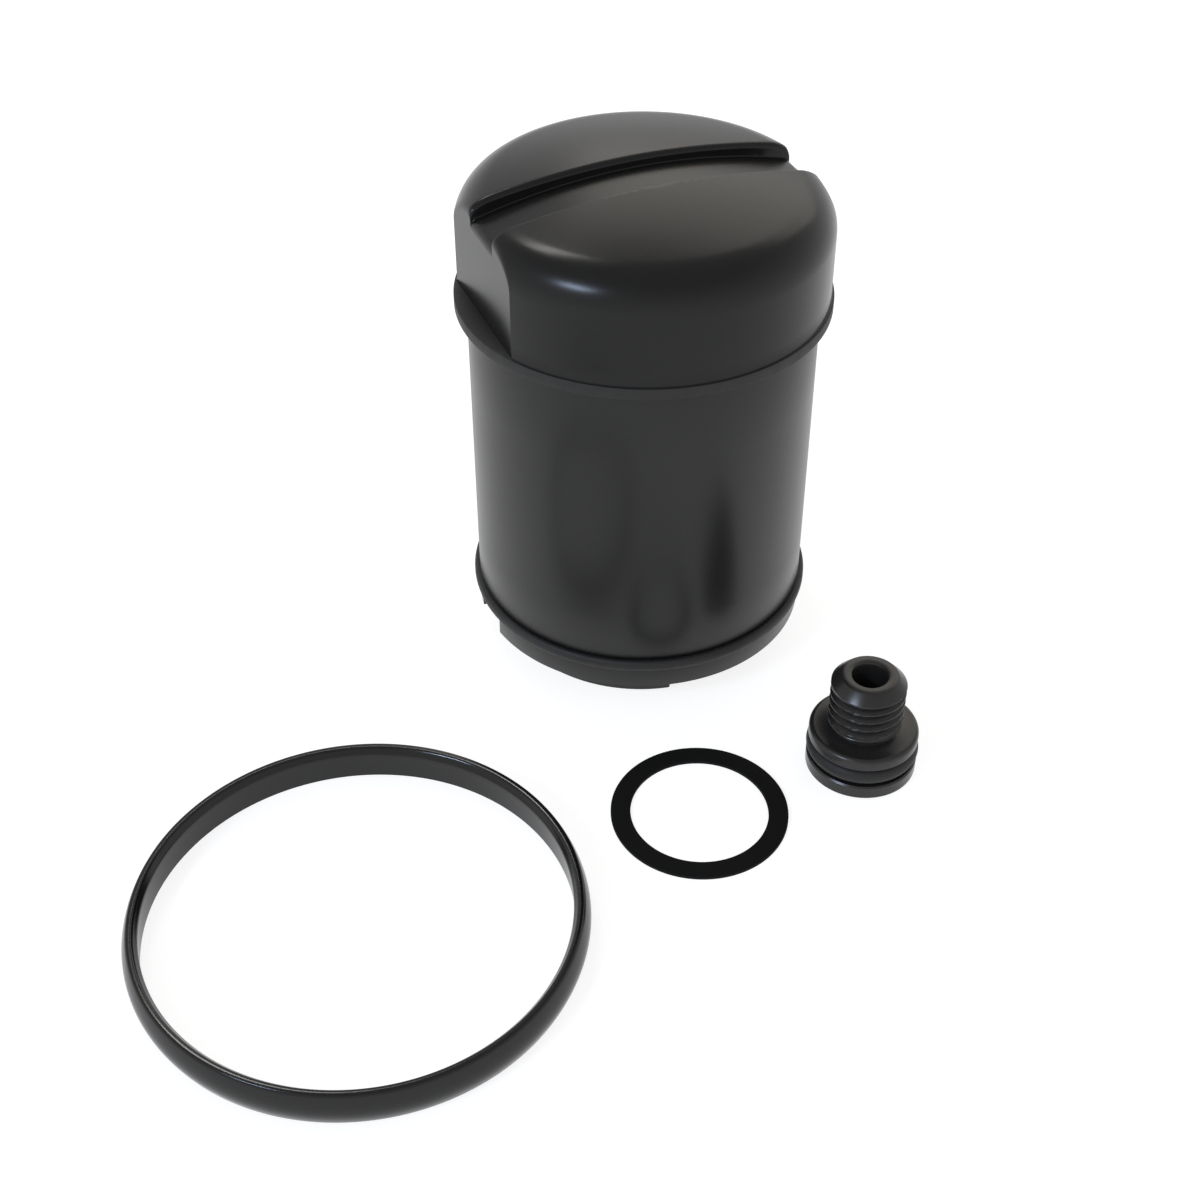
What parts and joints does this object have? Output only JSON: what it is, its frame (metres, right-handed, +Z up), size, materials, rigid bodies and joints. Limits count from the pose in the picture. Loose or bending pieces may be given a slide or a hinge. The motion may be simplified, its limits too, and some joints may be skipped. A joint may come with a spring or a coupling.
{
  "type": "oil filter",
  "caption": "Black canister oil filter whose cap unscrews from a pleated cartridge, laid out with its hollow threaded nipple, sealing washer and guard ring.",
  "frame": {"origin": "middle of the layout's bounding box, on the surface it stands on", "axes": "+Z up, along the canister's axis; +Y from the guard ring towards the canister; +X to the nipple's side"},
  "size_m": [0.182, 0.2104, 0.1275],
  "materials": {
    "black_enamel": "smooth black enamel, gloss to semi-gloss",
    "textured_black": "matte black, fine grain",
    "ring_enamel": "smooth black, semi-gloss",
    "dark_steel": "blackened turned steel, satin",
    "zinc_steel": "zinc plated sheet",
    "spring_steel": "drawn wire",
    "black_rubber": "moulded nitrile, matte",
    "valve_rubber": "soft moulded nitrile, matte",
    "washer_rubber": "cut flat sheet, matte",
    "filter_paper": "resin-cured pleated paper",
    "nylon": "moulded nylon, matte"
  },
  "bodies": {
    "canister": {"body_tube": "black_enamel", "seam_bead": "textured_black", "base_skirt": "black_enamel", "lug_ring": "black_enamel", "base_plate": "zinc_steel", "base_gasket": "black_rubber", "mouth_collar": "textured_black"},
    "drain_flap": {"anti_drain_valve": "valve_rubber"},
    "cartridge": {"pleated_media": "filter_paper", "media_clip": "zinc_steel", "center_tube": "zinc_steel", "element_seal": "valve_rubber", "bottom_end_cap": "zinc_steel", "top_end_cap": "zinc_steel", "bypass_seat": "nylon", "bypass_cage": "zinc_steel", "bypass_spring": "spring_steel", "hold_down_spring": "spring_steel"},
    "poppet": {"bypass_poppet": "nylon"},
    "cap_seal": {"cap_o_ring": "black_rubber", "spring_seat": "zinc_steel"},
    "cap": {"threaded_cap": "black_enamel"},
    "nipple": {"threaded_nipple": "dark_steel", "nipple_o_ring": "black_rubber"},
    "washer": {"sealing_washer": "washer_rubber"},
    "guard": {"guard_ring": "ring_enamel"}
  },
  "joints": [
    {"name": "cartridge_lift", "type": "slide", "parent": "canister", "child": "cartridge", "axis": [0, 0, 1], "range_m": [0, 0.095]},
    {"name": "cap_rise", "type": "slide", "parent": "cartridge", "child": "cap_seal", "axis": [0, 0, 1], "range_m": [0, 0.012], "deforming": ["hold_down_spring"]},
    {"name": "cap_turn", "type": "hinge", "parent": "cap_seal", "child": "cap", "pos_m": [0.02417, 0.06029, 0.09765], "axis": [0, 0, 1], "range_deg": [0, 1080]},
    {"name": "bypass_open", "type": "slide", "parent": "cartridge", "child": "poppet", "axis": [0, 0, -1], "range_m": [0, 0.003], "stiffness_N_per_m": 2500, "springref_m": -0.0045, "deforming": ["bypass_spring"]},
    {"name": "flap_lift", "type": "slide", "parent": "canister", "child": "drain_flap", "axis": [0, 0, 1], "range_m": [0, 0.0015], "stiffness_N_per_m": 400},
    {"name": "nipple_lift", "type": "slide", "parent": "canister", "child": "nipple", "axis": [0, 0, 1], "range_m": [0, 0.06]},
    {"name": "washer_lift", "type": "slide", "parent": "canister", "child": "washer", "axis": [0, 0, 1], "range_m": [0, 0.04]},
    {"name": "guard_lift", "type": "slide", "parent": "canister", "child": "guard", "axis": [0, 0, 1], "range_m": [0, 0.05]}
  ],
  "couplings": [
    {"joint": "cap_rise", "follows": "cap_turn", "m_per_rad": 0.00063662}
  ]
}
